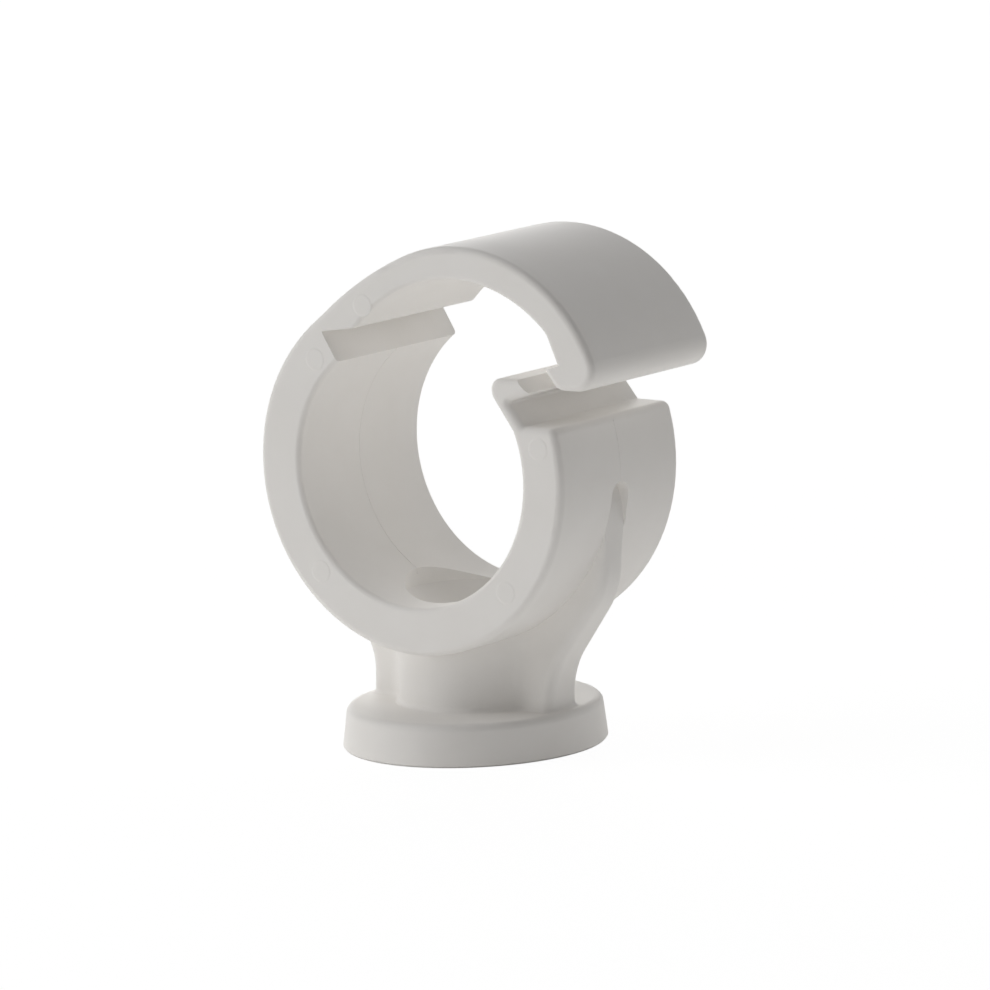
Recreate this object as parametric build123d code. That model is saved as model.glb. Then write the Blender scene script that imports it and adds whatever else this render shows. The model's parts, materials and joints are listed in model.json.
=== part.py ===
from build123d import *
from math import asin, cos, degrees, radians, sin, sqrt, tan
import os

# A pipe clip moulded in one piece: a foot, a neck with a screw hole, a snap-in ring
# and a lid that swings on a thin bending web.
# Millimetres. Origin at the middle of the foot's underside, +Z up, +X towards the
# catch, +Y along the pipe. Profile points are (x, z) from the pipe's axis.

# Ring that holds the pipe
pipe_radius = 7.5
ring_wall = 2.68
clip_width = 11.3
seat_height = 15.9
edge_round = 0.4
seat_edge_round = 0.3
strap_edge_round = 0.25

# Where the ring stops beside the lid, as angles about the pipe's axis
arm_end_inner_angle = 128.9
arm_end_outer_angle = 126.9
notch_depth = 1.905

# Catch on the other arm: its lip stands a little into the seat, the rest is set off from it
lip_angle = 40.0
lip_bulge = 0.2
lip_bulge_round = 0.8
lip_flat_angle = 22.0
lip_lean = 0.1
lip_rise = 0.99
lip_round = 0.62
lip_top_width = 1.8
hook_reach = 2.63
hook_drop = 0.74
hook_chamfer = 0.1
hook_thickness = 1.25
lip_wall = 1.16
groove_lean = 1.04
groove_height = 1.295
groove_round = 0.15
shoulder_round = 0.5

# Bending web between the ring and the lid
web_length = 0.48
web_root_length = 0.12
web_pivot_depth = 0.06

# Lid, drawn closed on the catch and then swung to the pose it is moulded in
lid_ajar_angle = 7.5
lid_rise_angle = 34.0
crest_angle = 90.0
crest_lift = 0.95
strap_thickness = 1.69
heel_angle = 114.85
heel_lift = 0.76
heel_chamfer = 0.2
strap_bend_angle = 34.7
strap_bend_lift = 0.97
strap_bend_round = 1.6
toe_inset = 0.3
nose_rest_gap = 0.1
nose_length = 2.9
nose_droop = 0.32
nose_round = 1.2
toe_round = 0.8
barb_gap = 0.6
barb_drop = 0.53
barb_chamfer = 0.1
barb_length = 0.956
barb_rise = 0.14

# Foot
foot_width = 14.2
foot_length = 15.8
foot_height = 2.36
foot_draft = 7.0
foot_top_round = 0.45
foot_bottom_chamfer = 0.12

# Neck: a round screw boss, and a plate through it that climbs both sides of the ring
boss_radius = 4.2
neck_root_round = 0.27
plate_foot_inset = 1.06
plate_recess = 0.5
catch_slope = 35.9
hinge_slope = 39.3
plate_shoulder_radius = 5.0
catch_sweep_radius = 4.87
catch_sweep_rise = 0.42
hinge_sweep_radius = 3.6
hinge_sweep_rise = 1.13
plate_top_drop = 0.5
plate_thickness_top = 1.5
plate_thickness_foot = 3.0
plate_top_round = 0.7
plate_edge_round = 0.55
stem_corner_round = 1.2
slot_ramp_height = 2.2
slot_end_depth = 1.1

# Screw hole with a recess for a countersunk head
screw_radius = 2.2
head_radius = 3.75
head_cone_angle = 90.0

# Sizes that follow from these
ring_radius = pipe_radius + ring_wall
wall_middle = pipe_radius + ring_wall / 2
half_width = clip_width / 2
foot_top = foot_height - seat_height
foot_middle = foot_height / 2 - seat_height
profile_plane = Plane(origin=(0, 0, seat_height), x_dir=(1, 0, 0), z_dir=(0, -1, 0))
side_plane = Plane(origin=(0, 0, seat_height), x_dir=(0, 1, 0), z_dir=(1, 0, 0))


def polar(radius, angle):
    """Profile point at an angle about the pipe's axis."""
    return (radius * cos(radians(angle)), radius * sin(radians(angle)))


def shifted(point, dx, dz):
    """Profile point moved sideways and up."""
    return (point[0] + dx, point[1] + dz)


def between(start, end, distance):
    """Profile point at a distance from start on the way to end."""
    way = Vector(*end) - Vector(*start)
    place = Vector(*start) + way.normalized() * distance
    return (place.X, place.Y)


def swung(point, angle):
    """Profile point of the closed lid, turned about the web."""
    turned = (Vector(*point) - Vector(*pivot)).rotate(Axis.Z, angle) + Vector(*pivot)
    return (turned.X, turned.Y)


def rounded(face, corners):
    """Face with the corners nearest to the given points rounded."""
    for point, radius in corners:
        face = fillet(face.vertices().sort_by_distance(point)[0], radius)
    return face


def blunted(face, point, length):
    """Face with the corner nearest to a point cut off."""
    return chamfer(face.vertices().sort_by_distance(point)[0], length)


def slab(face):
    """Profile given the clip's full width."""
    return extrude(profile_plane * face, half_width, both=True)


def rims(solid, point):
    """Front and back edges of a slab that pass nearest to a profile point."""
    place = profile_plane.from_local_coords(Vector(*point))
    front = Vector(place.X, -half_width, place.Z)
    back = Vector(place.X, half_width, place.Z)
    return [solid.edges().sort_by_distance(front)[0], solid.edges().sort_by_distance(back)[0]]


# Points of the catch
lip_flat_end = polar(pipe_radius, lip_flat_angle)
lip_bulge_corner = polar(pipe_radius - lip_bulge, lip_angle)
lip_corner = shifted(lip_bulge_corner, -lip_lean, lip_rise)
lip_shoulder = shifted(lip_corner, lip_top_width, 0)
hook_tip = shifted(lip_corner, hook_reach, -hook_drop)
groove_root = shifted(lip_corner, lip_wall, -hook_thickness)
groove_foot = shifted(groove_root, groove_lean, -groove_height)
shoulder_corner = (sqrt(ring_radius**2 - groove_foot[1] ** 2), groove_foot[1])
shoulder_angle = degrees(asin(groove_foot[1] / ring_radius))

# Points of the arm's end and of the web
arm_end_inner = polar(pipe_radius, arm_end_inner_angle)
arm_end_outer = polar(ring_radius, arm_end_outer_angle)
notch_corner = between(arm_end_inner, arm_end_outer, notch_depth)
web_sweep = degrees(web_length / ring_radius)
web_end_angle = arm_end_outer_angle - web_sweep
pivot = polar(ring_radius - web_pivot_depth, arm_end_outer_angle - web_sweep / 2)
heel = polar(pipe_radius + heel_lift, heel_angle)
web_outer_closed = polar(ring_radius, web_end_angle)
web_inner_closed = between(notch_corner, heel, web_root_length)


def ring():
    """Open ring with its catch."""
    outline = [
        Polyline(lip_flat_end, lip_bulge_corner, lip_corner, lip_shoulder, hook_tip),
        Polyline(hook_tip, groove_root, groove_foot, shoulder_corner),
        CenterArc((0, 0), ring_radius, shoulder_angle, arm_end_outer_angle - 360 - shoulder_angle),
        Line(arm_end_outer, arm_end_inner),
        CenterArc((0, 0), pipe_radius, arm_end_inner_angle, lip_flat_angle + 360 - arm_end_inner_angle),
    ]
    corners = [
        (lip_bulge_corner, lip_bulge_round),
        (lip_corner, lip_round),
        (groove_root, groove_round),
        (groove_foot, groove_round),
        (shoulder_corner, shoulder_round),
    ]
    solid = slab(blunted(rounded(make_face(outline), corners), hook_tip, hook_chamfer))
    solid = fillet(rims(solid, (0, -ring_radius)), edge_round)
    lip_flat = between(lip_flat_end, lip_bulge_corner, lip_bulge_round)
    return fillet(rims(solid, (0, -pipe_radius)) + rims(solid, lip_flat), seat_edge_round)


def lid():
    """Curved strap with a thumb nose and a barb that goes under the catch."""
    crest = polar(ring_radius + crest_lift, crest_angle)
    strap_inside = polar(ring_radius + crest_lift - strap_thickness, crest_angle)
    bend = polar(ring_radius + strap_bend_lift, strap_bend_angle)
    toe = shifted(shoulder_corner, -toe_inset, nose_rest_gap)
    nose = shifted(toe, nose_length, -nose_droop)
    barb = shifted(hook_tip, barb_gap, -barb_drop)
    barb_root = shifted(barb, barb_length, barb_rise)
    rise = TangentArc(web_outer_closed, crest, tangent=polar(1, lid_rise_angle))
    over = TangentArc(crest, nose, tangent=rise % 1)
    outline = [
        rise,
        over,
        Polyline(nose, toe, barb, barb_root, bend),
        ThreePointArc(bend, strap_inside, heel),
        Polyline(heel, web_inner_closed, web_outer_closed),
    ]
    corners = [
        (nose, nose_round),
        (toe, toe_round),
        (bend, strap_bend_round),
    ]
    face = rounded(make_face(outline), corners)
    face = blunted(face, heel, heel_chamfer)
    face = blunted(face, barb, barb_chamfer)
    swing = Pos(*pivot) * Rot(Z=lid_ajar_angle) * Pos(-pivot[0], -pivot[1])
    solid = slab(swing * face)
    outside = swung(crest, lid_ajar_angle)
    inside = swung(strap_inside, lid_ajar_angle)
    solid = fillet(rims(solid, outside), edge_round)
    return fillet(rims(solid, inside), strap_edge_round)


def web():
    """Thin strip that bends when the lid swings."""
    inner = swung(web_inner_closed, lid_ajar_angle)
    outer = swung(web_outer_closed, lid_ajar_angle)
    solid = slab(make_face(Polyline(notch_corner, arm_end_outer, outer, inner, close=True)))
    return fillet(rims(solid, between(arm_end_outer, outer, web_length / 2)), edge_round)


def plate_side():
    """Plate seen along X: thickest at the foot, round at the top."""
    top = plate_thickness_top / 2
    bottom = plate_thickness_foot / 2
    corners = [(-top, -plate_top_drop), (top, -plate_top_drop)]
    outline = Polyline(corners[0], corners[1], (bottom, foot_middle), (-bottom, foot_middle), close=True)
    return rounded(make_face(outline), [(corner, plate_top_round) for corner in corners])


def plate_half(sweep_radius, sweep_rise, slope):
    """Half of the plate seen along the pipe: it hugs the ring, slopes in and sweeps down to the foot."""
    edge = ring_radius - plate_recess
    toe = foot_width / 2 - plate_foot_inset
    sweep_end = (toe, foot_top + sweep_rise)
    sweep_middle = shifted(sweep_end, sweep_radius, 0)
    slope_end = shifted(sweep_middle, *polar(-sweep_radius, -slope))
    bend = polar(plate_shoulder_radius, slope)
    slope_width = edge - plate_shoulder_radius + bend[0] - slope_end[0]
    slope_top = shifted(slope_end, slope_width, slope_width / tan(radians(slope)))
    shoulder = (edge, slope_top[1] + bend[1])
    outline = [
        Polyline((0, -plate_top_drop), (edge, -plate_top_drop), shoulder),
        RadiusArc(shoulder, slope_top, plate_shoulder_radius),
        Line(slope_top, slope_end),
        RadiusArc(slope_end, sweep_end, -sweep_radius),
        Polyline(sweep_end, (toe, foot_middle), (0, foot_middle), (0, -plate_top_drop)),
    ]
    return make_face(outline)


def plate_front():
    """Whole plate seen along the pipe, with a wider sweep below the catch."""
    catch_half = plate_half(catch_sweep_radius, catch_sweep_rise, catch_slope)
    hinge_half = plate_half(hinge_sweep_radius, hinge_sweep_rise, hinge_slope)
    return catch_half + mirror(hinge_half, Plane.YZ)


def foot():
    """Oval foot, narrower at the top."""
    inset = foot_height * tan(radians(foot_draft))
    bottom = Ellipse(foot_width / 2, foot_length / 2)
    top = Pos(0, 0, foot_height) * Ellipse(foot_width / 2 - inset, foot_length / 2 - inset)
    solid = loft([bottom.face(), top.face()])
    rim = solid.edges().group_by(Axis.Z)
    solid = fillet(rim[-1], foot_top_round)
    return chamfer(solid.edges().group_by(Axis.Z)[0], foot_bottom_chamfer)


def plate():
    """Plate with soft edges, on both sides of the boss."""
    across = extrude(side_plane * plate_side(), ring_radius, both=True)
    solid = slab(plate_front()) & across
    beside = [edge for edge in solid.edges() if abs(edge.center().X) > boss_radius]
    long_edges = [edge for edge in beside if abs(edge.center().Y) > plate_thickness_top / 4]
    return fillet(long_edges, plate_edge_round)


def stem():
    """Screw boss and plate, hollowed to the middle of the ring's wall."""
    boss = Pos(0, 0, foot_height / 2) * Cylinder(
        boss_radius, seat_height - foot_height / 2, align=(Align.CENTER, Align.CENTER, Align.MIN)
    )
    room = Pos(0, 0, seat_height) * Rot(X=90) * Cylinder(wall_middle, clip_width)
    solid = boss + plate() - room
    upright = solid.edges().filter_by(lambda edge: edge.center().Z > foot_height)
    corner_reach = boss_radius * cos(asin(plate_thickness_foot / 2 / boss_radius))
    corners = []
    for side in (-corner_reach, corner_reach):
        for face in (-plate_thickness_foot / 2, plate_thickness_foot / 2):
            corners.append(upright.sort_by_distance(Vector(side, face, foot_height))[0])
    return fillet(corners, stem_corner_round)


def neck():
    """Foot and stem with a soft root between them."""
    solid = foot() + stem()
    ledge = solid.faces().filter_by(Plane.XY).sort_by(Axis.Z)[1]
    return fillet(ledge.inner_wires()[0].edges(), neck_root_round)


def slots():
    """Slots in the ring's two sides above the plate, ramped down to their closed end."""
    floor = ring_radius - plate_recess
    bottom = ring_radius - slot_end_depth
    ramp = Polyline(
        (floor, -plate_top_drop), (bottom, -plate_top_drop), (floor, -plate_top_drop - slot_ramp_height), close=True
    )
    deep = slab(make_face(ramp)) & extrude(side_plane.offset(bottom) * plate_side(), slot_end_depth)
    side = extrude(side_plane.offset(floor) * plate_side(), plate_recess) + deep
    return side + mirror(side, Plane.YZ)


def screw_hole():
    """Clearance hole, countersink and the room above it for the screw's head."""
    cone_depth = (head_radius - screw_radius) / tan(radians(head_cone_angle / 2))
    seat_bottom = seat_height - pipe_radius
    low = (Align.CENTER, Align.CENTER, Align.MIN)
    shank = Cylinder(screw_radius, seat_bottom, align=low)
    cone = Pos(0, 0, seat_bottom - cone_depth) * Cone(screw_radius, head_radius, cone_depth, align=low)
    room = Pos(0, 0, seat_bottom) * Cylinder(head_radius, pipe_radius, align=low)
    return shank + cone + room


def body():
    """Foot, neck and ring in one piece."""
    return ring() + neck() - slots() - screw_hole()


os.makedirs("parts", exist_ok=True)
export_step(body(), "parts/clip_body.step")
export_step(lid(), "parts/hinged_lid.step")
export_step(web(), "parts/living_hinge.step")
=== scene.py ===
"""A hinged pipe clip in white moulded plastic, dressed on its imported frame."""
import json
import math

import bmesh
import bpy
from mathutils import Matrix, Vector


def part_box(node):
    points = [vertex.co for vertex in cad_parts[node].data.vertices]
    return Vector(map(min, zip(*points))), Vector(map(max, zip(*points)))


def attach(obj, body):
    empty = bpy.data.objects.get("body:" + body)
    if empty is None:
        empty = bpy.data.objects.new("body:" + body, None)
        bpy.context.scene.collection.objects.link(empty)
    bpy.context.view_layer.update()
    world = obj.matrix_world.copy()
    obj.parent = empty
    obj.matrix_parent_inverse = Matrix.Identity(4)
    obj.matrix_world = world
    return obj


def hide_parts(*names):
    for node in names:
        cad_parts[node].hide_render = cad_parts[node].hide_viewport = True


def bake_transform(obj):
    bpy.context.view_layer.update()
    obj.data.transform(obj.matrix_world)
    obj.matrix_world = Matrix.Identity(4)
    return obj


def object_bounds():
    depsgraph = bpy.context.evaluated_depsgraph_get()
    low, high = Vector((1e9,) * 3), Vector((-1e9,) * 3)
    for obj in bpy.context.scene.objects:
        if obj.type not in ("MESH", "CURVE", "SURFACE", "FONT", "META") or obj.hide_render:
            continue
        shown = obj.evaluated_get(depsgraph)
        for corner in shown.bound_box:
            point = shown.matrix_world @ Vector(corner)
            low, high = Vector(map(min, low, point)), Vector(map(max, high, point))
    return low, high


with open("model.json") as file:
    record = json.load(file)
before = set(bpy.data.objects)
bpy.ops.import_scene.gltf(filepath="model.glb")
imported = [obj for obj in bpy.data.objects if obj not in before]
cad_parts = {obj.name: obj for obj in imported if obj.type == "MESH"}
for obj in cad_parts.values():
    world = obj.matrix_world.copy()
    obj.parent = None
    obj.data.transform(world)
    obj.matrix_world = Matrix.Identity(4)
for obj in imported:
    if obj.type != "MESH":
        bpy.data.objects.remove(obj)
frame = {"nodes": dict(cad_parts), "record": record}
cad_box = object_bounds()

MM = 0.001

# Sizes read from the frame, in metres
body_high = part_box("clip_body")[1]
lid_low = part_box("hinged_lid")[0]
web_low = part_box("living_hinge")[0]
seat_mount = next(m for m in frame["record"]["mounts"] if m["name"] == "pipe_seat")
seat_centre = Vector(seat_mount["pos_m"])
pipe_radius = seat_mount["dims"]["r_mm"] * MM
front_face = lid_low.y
clip_middle = (cad_box[0] + cad_box[1]) / 2

# The clip's own sizes that the frame doesn't give
ring_wall = 2.68 * MM
ring_radius = pipe_radius + ring_wall
plate_recess = 0.5 * MM
plate_edge = ring_radius - plate_recess
plate_top_half = 0.75 * MM
plate_taper = 0.0527
slot_end_height = 15.4 * MM

# Points closer than these count as one, when a skin is joined and when it is cut
weld_reach = 0.0005 * MM
cut_reach = 0.0001 * MM
quarter_turn = math.radians(90.0)

# Satin white plastic: faint flow clouds and the grain of the mould
plastic_ior = 1.49
plastic_gloss = 0.12
cloud_scale = 260.0
cloud_detail = 3.0
cloud_start = 0.3
cloud_end = 0.7
cloud_dark = (0.882, 0.863, 0.834, 1.0)
cloud_light = (0.906, 0.889, 0.864, 1.0)
smoothest = 0.52
roughest = 0.68
grain_scale = 9000.0
grain_detail = 2.0
grain_strength = 0.06
grain_depth = 0.02 * MM

# Marks that the mould leaves, in metres and in degrees about the pipe's axis
seam_radius = 0.02 * MM
seam_sides = 6
seam_band = 0.35 * MM
pin_radius = 0.64 * MM
pin_rim = 0.09 * MM
pin_height = 0.02 * MM
pin_sides = 48
ring_pins = ((13.0, 8.9 * MM), (-44.0, 8.75 * MM), (-136.0, 8.6 * MM), (136.5, 8.55 * MM))
lid_pins = ((107.5, 9.55 * MM),)

# Run-out: where each slot's floor comes out of the ring and turns into the plate's rounded edge
slot_end_dip = 0.57 * MM
slot_floor_power = 3
run_out_height = 12.8 * MM
run_out_bottom = 10.95 * MM
run_out_root = 8.8 * MM
run_out_steps = 40
crisp_corner = 0.06 * MM
soft_corner = 0.55 * MM
corner_steps = 6
skin_gap = 0.006 * MM
wall_overlap = 0.1 * MM

# Bending web: the strip beside the arm's end that takes up the swing
fold_length = 0.2 * MM
fold_cuts = 8
crease_angle = math.radians(35.0)

# White paper: its colour under the lamps, and its shadow and brightness for the camera, clear of the foot
floor_half = 6.0
paper_colour = (0.9, 0.9, 0.89, 1.0)
shadow_colour = (0.09, 0.09, 0.09, 1.0)
paper_glow = 0.955
under_foot_radius = 5.0 * MM

# Studio light: sizes and distances in metres, rises in degrees, the panel's power in watts
room_tint = (1.0, 0.965, 0.945, 1.0)
room_strength = 0.06
white_strength = 1.0
lamp_distance = 0.9
lamp_width = 0.6
low_lamp_height = 0.35
high_lamp_height = 0.6
low_rise = 12.0
high_rise = 45.0
top_rise = 89.9
panel_tint = (1.0, 0.98, 0.965)
panel_size = 0.5
panel_watts = 0.193
panel_height = 0.1 * MM

# The photograph's camera: where it stands and what it sees
camera_azimuth = 35.61
camera_elevation = 9.84
camera_roll = -1.42
camera_distance = 0.45
camera_target = Vector((0.0017056, 0.0, 0.013966))
sensor_width = 36.0
focal_length = 296.7
near_clip = 0.01
far_clip = 20.0


def placed(name, mesh):
    """An object at the origin that holds the mesh."""
    obj = bpy.data.objects.new(name, mesh)
    bpy.context.scene.collection.objects.link(obj)
    return obj


def joined_skin(node):
    """The node's mesh as one closed skin."""
    skin = bmesh.new()
    skin.from_mesh(frame["nodes"][node].data)
    bmesh.ops.remove_doubles(skin, verts=skin.verts, dist=weld_reach)
    return skin


def as_mesh(skin, name):
    """The skin written to a new mesh, without the shading normals of the mesh it came from."""
    mesh = bpy.data.meshes.new(name)
    skin.to_mesh(mesh)
    skin.free()
    if "custom_normal" in mesh.attributes:
        mesh.attributes.remove(mesh.attributes["custom_normal"])
    return mesh


def cut_through(skin, place, way):
    """Cuts the whole skin along a plane and gives the new edges."""
    everything = list(skin.verts) + list(skin.edges) + list(skin.faces)
    cut = bmesh.ops.bisect_plane(skin, geom=everything, dist=cut_reach, plane_co=place, plane_no=way)
    return [e for e in cut["geom_cut"] if isinstance(e, bmesh.types.BMEdge)]


def white_polypropylene():
    """Satin white plastic with faint flow clouds and the fine grain of the mould."""
    material = bpy.data.materials.new("white_polypropylene")
    material.use_nodes = True
    nodes = material.node_tree.nodes
    links = material.node_tree.links
    shader = nodes["Principled BSDF"]
    shader.inputs["IOR"].default_value = plastic_ior
    shader.inputs["Specular IOR Level"].default_value = plastic_gloss
    place = nodes.new("ShaderNodeTexCoord")

    clouds = nodes.new("ShaderNodeTexNoise")
    clouds.inputs["Scale"].default_value = cloud_scale
    clouds.inputs["Detail"].default_value = cloud_detail
    links.new(place.outputs["Object"], clouds.inputs["Vector"])
    tint = nodes.new("ShaderNodeValToRGB")
    tint.color_ramp.elements[0].position = cloud_start
    tint.color_ramp.elements[0].color = cloud_dark
    tint.color_ramp.elements[1].position = cloud_end
    tint.color_ramp.elements[1].color = cloud_light
    links.new(clouds.outputs["Fac"], tint.inputs["Fac"])
    links.new(tint.outputs["Color"], shader.inputs["Base Color"])

    grain = nodes.new("ShaderNodeTexNoise")
    grain.inputs["Scale"].default_value = grain_scale
    grain.inputs["Detail"].default_value = grain_detail
    links.new(place.outputs["Object"], grain.inputs["Vector"])
    satin = nodes.new("ShaderNodeMapRange")
    satin.inputs["To Min"].default_value = smoothest
    satin.inputs["To Max"].default_value = roughest
    links.new(clouds.outputs["Fac"], satin.inputs["Value"])
    links.new(satin.outputs["Result"], shader.inputs["Roughness"])
    relief = nodes.new("ShaderNodeBump")
    relief.inputs["Strength"].default_value = grain_strength
    relief.inputs["Distance"].default_value = grain_depth
    links.new(grain.outputs["Fac"], relief.inputs["Height"])
    links.new(relief.outputs["Normal"], shader.inputs["Normal"])
    return material


def dress(node, material):
    """Gives a CAD node the finish."""
    for slot in frame["nodes"][node].material_slots:
        slot.material = material


def on_ring(point):
    """True in the bore and on the ring's outside, clear of the neck, the slots and the screw's recess."""
    away = point - seat_centre
    reach = math.hypot(away.x, away.z)
    in_bore = abs(reach - pipe_radius) < seam_band
    outside = abs(reach - ring_radius) < seam_radius and point.z > slot_end_height
    return in_bore or outside


def ring_outline(name):
    """The ring's outline on the mould's parting plane, as bare edges."""
    skin = joined_skin("clip_body")
    cut = cut_through(skin, (0, 0, 0), (0, 1, 0))
    runs = [(e.verts[0].co.copy(), e.verts[1].co.copy()) for e in cut]
    skin.free()
    wire = bmesh.new()
    for start, end in runs:
        if on_ring((start + end) / 2):
            wire.edges.new((wire.verts.new(start), wire.verts.new(end)))
    bmesh.ops.remove_doubles(wire, verts=wire.verts, dist=weld_reach)
    return as_mesh(wire, name)


def pin_places(name, pins):
    """Bare points on the front face where the ejector pins pushed."""
    dots = bmesh.new()
    for angle, reach in pins:
        turn = math.radians(angle)
        dots.verts.new(seat_centre + Vector((reach * math.cos(turn), front_face, reach * math.sin(turn))))
    return as_mesh(dots, name)


def node_tree(name, inputs):
    """An empty geometry tree with named number inputs."""
    tree = bpy.data.node_groups.new(name, "GeometryNodeTree")
    tree.interface.new_socket("Geometry", in_out="INPUT", socket_type="NodeSocketGeometry")
    keys = {}
    for label in inputs:
        socket = tree.interface.new_socket(label, in_out="INPUT", socket_type="NodeSocketFloat")
        keys[label] = socket.identifier
    tree.interface.new_socket("Geometry", in_out="OUTPUT", socket_type="NodeSocketGeometry")
    return tree, keys


def end_tree(tree, shape, material):
    """Makes the shape real, gives it the finish and sends it out."""
    real = tree.nodes.new("GeometryNodeRealizeInstances")
    finish = tree.nodes.new("GeometryNodeSetMaterial")
    finish.inputs["Material"].default_value = material
    result = tree.nodes.new("NodeGroupOutput")
    tree.links.new(shape, real.inputs["Geometry"])
    tree.links.new(real.outputs["Geometry"], finish.inputs["Geometry"])
    tree.links.new(finish.outputs["Geometry"], result.inputs["Geometry"])


def seam_tree(material):
    """Lays a fine bead along bare edges."""
    tree, keys = node_tree("parting_seam", ("Bead radius",))
    given = tree.nodes.new("NodeGroupInput")
    line = tree.nodes.new("GeometryNodeMeshToCurve")
    bead = tree.nodes.new("GeometryNodeCurvePrimitiveCircle")
    bead.inputs["Resolution"].default_value = seam_sides
    tube = tree.nodes.new("GeometryNodeCurveToMesh")
    tube.inputs["Fill Caps"].default_value = True
    tree.links.new(given.outputs["Geometry"], line.inputs["Mesh"])
    tree.links.new(given.outputs["Bead radius"], bead.inputs["Radius"])
    tree.links.new(line.outputs["Curve"], tube.inputs["Curve"])
    tree.links.new(bead.outputs["Curve"], tube.inputs["Profile Curve"])
    end_tree(tree, tube.outputs["Mesh"], material)
    return tree, keys


def pin_tree(material):
    """Sets a flat round mark with a soft rim on each bare point."""
    tree, keys = node_tree("ejector_pins", ("Pin radius", "Rim width", "Mark height"))
    given = tree.nodes.new("NodeGroupInput")
    flat = tree.nodes.new("ShaderNodeMath")
    flat.operation = "SUBTRACT"
    mark = tree.nodes.new("GeometryNodeMeshCone")
    mark.inputs["Vertices"].default_value = pin_sides
    spread = tree.nodes.new("GeometryNodeInstanceOnPoints")
    spread.inputs["Rotation"].default_value = (quarter_turn, 0.0, 0.0)
    tree.links.new(given.outputs["Pin radius"], flat.inputs[0])
    tree.links.new(given.outputs["Rim width"], flat.inputs[1])
    tree.links.new(flat.outputs["Value"], mark.inputs["Radius Top"])
    tree.links.new(given.outputs["Pin radius"], mark.inputs["Radius Bottom"])
    tree.links.new(given.outputs["Mark height"], mark.inputs["Depth"])
    tree.links.new(given.outputs["Geometry"], spread.inputs["Points"])
    tree.links.new(mark.outputs["Mesh"], spread.inputs["Instance"])
    end_tree(tree, spread.outputs["Instances"], material)
    return tree, keys


def grown(name, mesh, tree, values):
    """What the geometry tree makes of the mesh, as a plain mesh of its own."""
    seed = placed(name + "_seed", mesh)
    growth = seed.modifiers.new(name, "NODES")
    growth.node_group = tree
    for key, value in values:
        growth[key] = value
    seen = seed.evaluated_get(bpy.context.evaluated_depsgraph_get())
    made = bpy.data.meshes.new_from_object(seen)
    made.name = name
    seed.modifiers.clear()
    bpy.data.objects.remove(seed)
    piece = placed(name, made)
    return piece


def parting_seam(material):
    """The fine raised line that the two mould halves leave round the ring."""
    tree, keys = seam_tree(material)
    outline = ring_outline("ring_outline")
    seam = grown("ring_parting_line", outline, tree, [(keys["Bead radius"], seam_radius)])
    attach(seam, "clip")


def ejector_marks(material):
    """The round marks of the ejector pins on the front of the ring and of the lid."""
    tree, keys = pin_tree(material)
    sizes = (("Pin radius", pin_radius), ("Rim width", pin_rim), ("Mark height", pin_height))
    values = [(keys[label], size) for label, size in sizes]
    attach(grown("ring_pin_marks", pin_places("ring_pins", ring_pins), tree, values), "clip")
    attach(grown("lid_pin_mark", pin_places("lid_pins", lid_pins), tree, values), "lid")


def run_out_row(skin, side, share):
    """One level outline of a slot's floor, which climbs out of the ring and softens on the way down."""
    height = slot_end_height + (run_out_bottom - slot_end_height) * share
    half = plate_top_half + (slot_end_height - height) * plate_taper - skin_gap
    inside = max(0.0, (height - run_out_height) / (slot_end_height - run_out_height))
    below = max(0.0, (run_out_height - height) / (run_out_height - run_out_bottom))
    if inside:
        half += wall_overlap
    corner = crisp_corner + (soft_corner - crisp_corner) * below
    reach = plate_edge + skin_gap - slot_end_dip * inside ** slot_floor_power
    arc = [quarter_turn * step / corner_steps for step in range(corner_steps + 1)]
    bend = [(reach - corner + corner * math.sin(a), half - corner + corner * math.cos(a)) for a in arc]
    near = [(run_out_root, half)] + bend
    far = [(out, -across) for out, across in reversed(near)]
    return [skin.verts.new((side * out, across, height)) for out, across in near + far]


def slot_run_outs(material):
    """The slots' floors carried down on to the plate's edge, on both sides of the ring."""
    skin = bmesh.new()
    for side in (1.0, -1.0):
        rows = [run_out_row(skin, side, step / run_out_steps) for step in range(run_out_steps + 1)]
        for upper, lower in zip(rows, rows[1:]):
            for this in range(len(upper)):
                after = (this + 1) % len(upper)
                skin.faces.new((upper[this], upper[after], lower[after], lower[this]))
        skin.faces.new(rows[0])
        skin.faces.new(rows[-1])
    bmesh.ops.recalc_face_normals(skin, faces=skin.faces)
    for face in skin.faces:
        face.smooth = True
    mesh = as_mesh(skin, "slot_run_outs")
    mesh.set_sharp_from_angle(angle=crease_angle)
    mesh.materials.append(material)
    strips = placed("slot_run_outs", mesh)
    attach(strips, "clip")


def bending_web(material):
    """The thin web as one skin, cut fine beside the arm's end."""
    skin = joined_skin("living_hinge")
    notch = min((v.co for v in skin.verts), key=lambda point: point.z)
    fold_start = Vector((notch.x, 0, notch.z))
    arm_end = Vector((web_low.x, 0, body_high.z)) - fold_start
    fold_way = Vector((arm_end.z, 0, -arm_end.x)).normalized()
    fold_end = fold_start + fold_way * fold_length
    for step in range(1, fold_cuts + 1):
        cut_through(skin, fold_start.lerp(fold_end, step / fold_cuts), fold_way)
    for face in skin.faces:
        face.smooth = True
    mesh = as_mesh(skin, "bending_web")
    mesh.set_sharp_from_angle(angle=crease_angle)
    mesh.materials.append(material)
    web = placed("bending_web", mesh)
    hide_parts("living_hinge")
    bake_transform(web)


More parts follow.
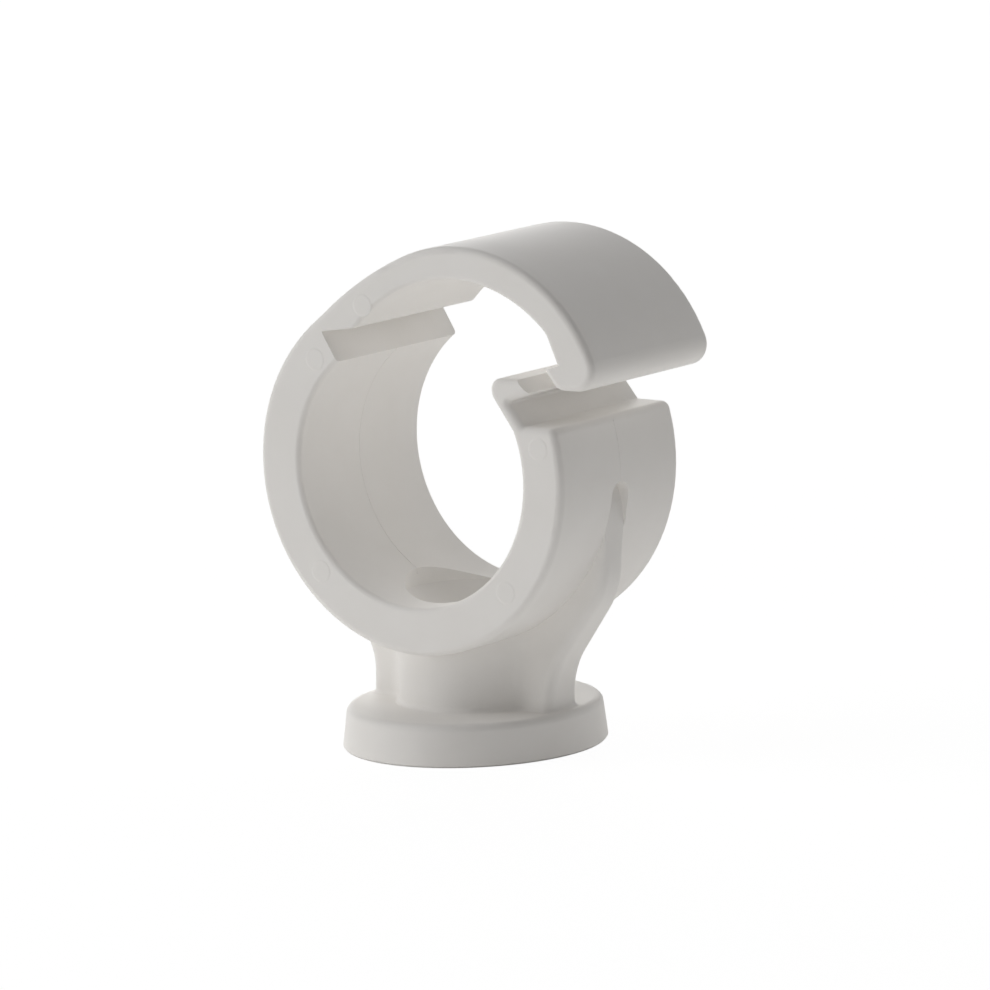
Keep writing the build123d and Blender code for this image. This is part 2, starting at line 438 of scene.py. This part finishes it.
def seen_share(nodes, links):
    """One where the camera sees the surface, straight, mirrored or through glass."""
    path = nodes.new("ShaderNodeLightPath")
    mirrored = nodes.new("ShaderNodeMath")
    mirrored.operation = "MAXIMUM"
    through = nodes.new("ShaderNodeMath")
    through.operation = "MAXIMUM"
    links.new(path.outputs["Is Camera Ray"], mirrored.inputs[0])
    links.new(path.outputs["Is Glossy Ray"], mirrored.inputs[1])
    links.new(mirrored.outputs["Value"], through.inputs[0])
    links.new(path.outputs["Is Transmission Ray"], through.inputs[1])
    return through.outputs["Value"]


def clear_of_foot(nodes, links):
    """One on the open floor, nothing under the foot, where only the screw hole shows the paper."""
    place = nodes.new("ShaderNodeTexCoord")
    away = nodes.new("ShaderNodeVectorMath")
    away.operation = "LENGTH"
    clear = nodes.new("ShaderNodeMath")
    clear.operation = "GREATER_THAN"
    clear.inputs[1].default_value = under_foot_radius
    links.new(place.outputs["Object"], away.inputs[0])
    links.new(away.outputs["Value"], clear.inputs[0])
    return clear.outputs["Value"]


def pale_floor():
    """A wide sheet of white paper that looks white and keeps a faint shadow."""
    sheet = bmesh.new()
    bmesh.ops.create_grid(sheet, x_segments=1, y_segments=1, size=floor_half)
    mesh = as_mesh(sheet, "studio_floor")
    paper = bpy.data.materials.new("white_paper")
    paper.use_nodes = True
    nodes = paper.node_tree.nodes
    links = paper.node_tree.links
    nodes.clear()
    matt = nodes.new("ShaderNodeBsdfDiffuse")
    matt.inputs["Color"].default_value = paper_colour
    shade = nodes.new("ShaderNodeBsdfDiffuse")
    shade.inputs["Color"].default_value = shadow_colour
    glow = nodes.new("ShaderNodeEmission")
    glow.inputs["Strength"].default_value = paper_glow
    bright = nodes.new("ShaderNodeAddShader")
    share = nodes.new("ShaderNodeMath")
    share.operation = "MULTIPLY"
    mix = nodes.new("ShaderNodeMixShader")
    out = nodes.new("ShaderNodeOutputMaterial")
    links.new(shade.outputs["BSDF"], bright.inputs[0])
    links.new(glow.outputs["Emission"], bright.inputs[1])
    links.new(seen_share(nodes, links), share.inputs[0])
    links.new(clear_of_foot(nodes, links), share.inputs[1])
    links.new(share.outputs["Value"], mix.inputs["Fac"])
    links.new(matt.outputs["BSDF"], mix.inputs[1])
    links.new(bright.outputs["Shader"], mix.inputs[2])
    links.new(mix.outputs["Shader"], out.inputs["Surface"])
    mesh.materials.append(paper)
    placed("studio_floor", mesh)


def white_room():
    """Even light from all round, seen as plain white by the camera."""
    world = bpy.data.worlds.new("white_room")
    bpy.context.scene.world = world
    world.use_nodes = True
    nodes = world.node_tree.nodes
    links = world.node_tree.links
    nodes.clear()
    soft = nodes.new("ShaderNodeBackground")
    soft.inputs["Color"].default_value = room_tint
    soft.inputs["Strength"].default_value = room_strength
    white = nodes.new("ShaderNodeBackground")
    white.inputs["Strength"].default_value = white_strength
    mix = nodes.new("ShaderNodeMixShader")
    out = nodes.new("ShaderNodeOutputWorld")
    links.new(seen_share(nodes, links), mix.inputs["Fac"])
    links.new(soft.outputs["Background"], mix.inputs[1])
    links.new(white.outputs["Background"], mix.inputs[2])
    links.new(mix.outputs["Shader"], out.inputs["Surface"])


def softbox(name, side, rise, height, watts):
    """A flat lamp that faces the clip, turned sideways from the camera and raised, in degrees."""
    turn = math.radians(camera_azimuth + side)
    lift = math.radians(rise)
    way = Vector((math.sin(turn) * math.cos(lift), -math.cos(turn) * math.cos(lift), math.sin(lift)))
    lamp = bpy.data.lights.new(name, "AREA")
    lamp.shape = "RECTANGLE"
    lamp.size = lamp_width
    lamp.size_y = height
    lamp.energy = watts
    obj = bpy.data.objects.new(name, lamp)
    bpy.context.scene.collection.objects.link(obj)
    obj.location = clip_middle + way * lamp_distance
    obj.rotation_mode = "QUATERNION"
    obj.rotation_quaternion = (-way).to_track_quat("-Z", "Y")


def bounce_panel():
    """A flat lamp on the paper round the foot, in place of the light that a lit table sends up."""
    lamp = bpy.data.lights.new("bounce_panel", "AREA")
    lamp.color = panel_tint
    lamp.size = panel_size
    lamp.energy = panel_watts
    obj = bpy.data.objects.new("bounce_panel", lamp)
    bpy.context.scene.collection.objects.link(obj)
    obj.location = (0, 0, panel_height)
    obj.rotation_euler = (math.pi, 0, 0)
    obj.visible_camera = False


def photo_camera():
    """The camera where the photograph was taken from."""
    azimuth = math.radians(camera_azimuth)
    elevation = math.radians(camera_elevation)
    roll = math.radians(camera_roll)
    level = math.cos(elevation)
    back = Vector((math.sin(azimuth) * level, -math.cos(azimuth) * level, math.sin(elevation)))
    across = Vector((math.cos(azimuth), math.sin(azimuth), 0.0))
    up = back.cross(across)
    turned_across = across * math.cos(roll) + up * math.sin(roll)
    turned_up = up * math.cos(roll) - across * math.sin(roll)
    lens = bpy.data.cameras.new("photo_camera")
    lens.sensor_width = sensor_width
    lens.lens = focal_length
    lens.clip_start = near_clip
    lens.clip_end = far_clip
    camera = bpy.data.objects.new("photo_camera", lens)
    bpy.context.scene.collection.objects.link(camera)
    turned = Matrix((turned_across, turned_up, back)).transposed()
    camera.matrix_world = Matrix.Translation(camera_target + back * camera_distance) @ turned.to_4x4()
    bpy.context.scene.camera = camera


plastic = white_polypropylene()
for node in ("clip_body", "hinged_lid", "living_hinge"):
    dress(node, plastic)
parting_seam(plastic)
ejector_marks(plastic)
slot_run_outs(plastic)
bending_web(plastic)

pale_floor()
white_room()
bounce_panel()
softbox("front_softbox", side=-10.0, rise=low_rise, height=low_lamp_height, watts=0.6)
softbox("left_softbox", side=-90.0, rise=low_rise, height=low_lamp_height, watts=1.98)
softbox("high_left_softbox", side=-90.0, rise=high_rise, height=high_lamp_height, watts=1.8)
softbox("back_softbox", side=-170.0, rise=low_rise, height=low_lamp_height, watts=2.32)
softbox("right_back_softbox", side=120.0, rise=low_rise, height=low_lamp_height, watts=1.2)
softbox("high_back_softbox", side=160.0, rise=high_rise, height=high_lamp_height, watts=1.52)
softbox("top_softbox", side=0.0, rise=top_rise, height=high_lamp_height, watts=0.5)
photo_camera()
bpy.context.scene.view_settings.view_transform = "Standard"
